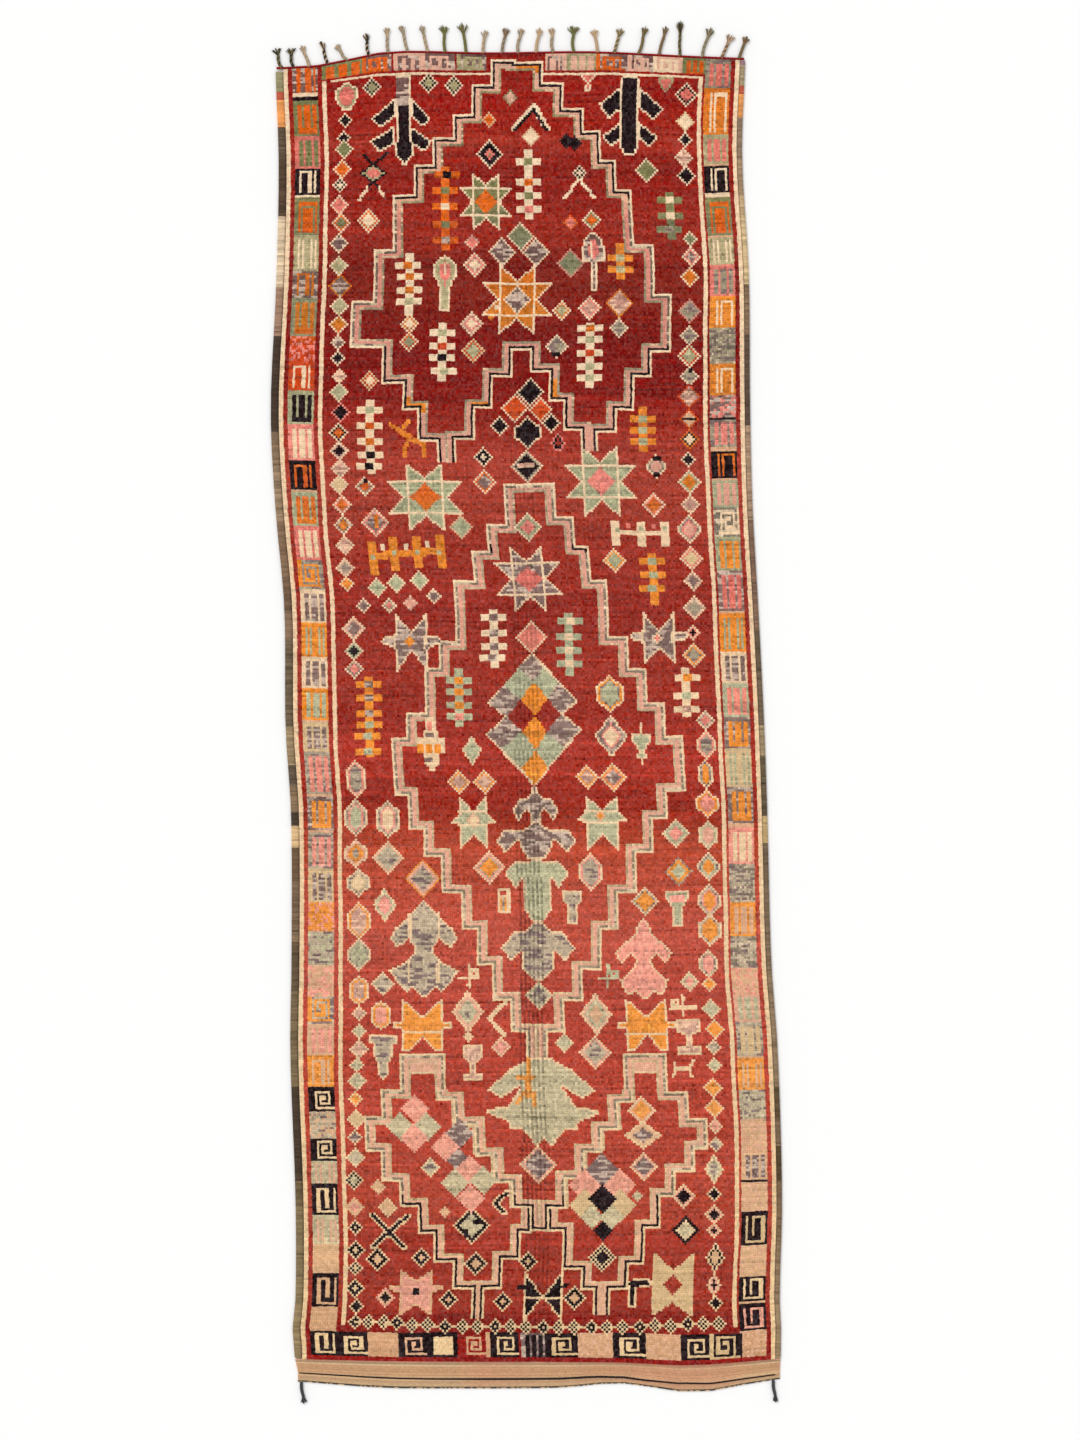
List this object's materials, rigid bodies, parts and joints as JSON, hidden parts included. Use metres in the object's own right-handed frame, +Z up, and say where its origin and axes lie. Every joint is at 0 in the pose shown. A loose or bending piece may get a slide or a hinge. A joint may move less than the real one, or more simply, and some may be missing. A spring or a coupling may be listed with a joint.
{
  "type": "berber runner rug",
  "caption": "Long hand-knotted wool runner rug lying flat, with overcast side edges, a flat-woven end, a braided tassel fringe at the other end and a patterned pile that covers a floor.",
  "frame": {"origin": "on the floor, under the middle of the rug with its fringe and tassels", "axes": "+X across the rug to the right, +Y along it towards the tasselled end, +Z up from the floor"},
  "size_m": [1.2788, 3.455, 0.01],
  "materials": {
    "pile": "short worn wool pile in knotted colours, with a tan flat-woven end",
    "overcast": "wool yarn wrapped closely round the edge warps",
    "braid": "braided warp yarn with loose ends under a red rolled heading",
    "dark_braid": "dark braided yarn with a loose end"
  },
  "bodies": {
    "root": {"rug": "pile", "selvedge_left": "overcast", "selvedge_right": "overcast", "top_fringe": "braid", "corner_tassel_left": "dark_braid", "corner_tassel_right": "dark_braid"}
  },
  "joints": []
}
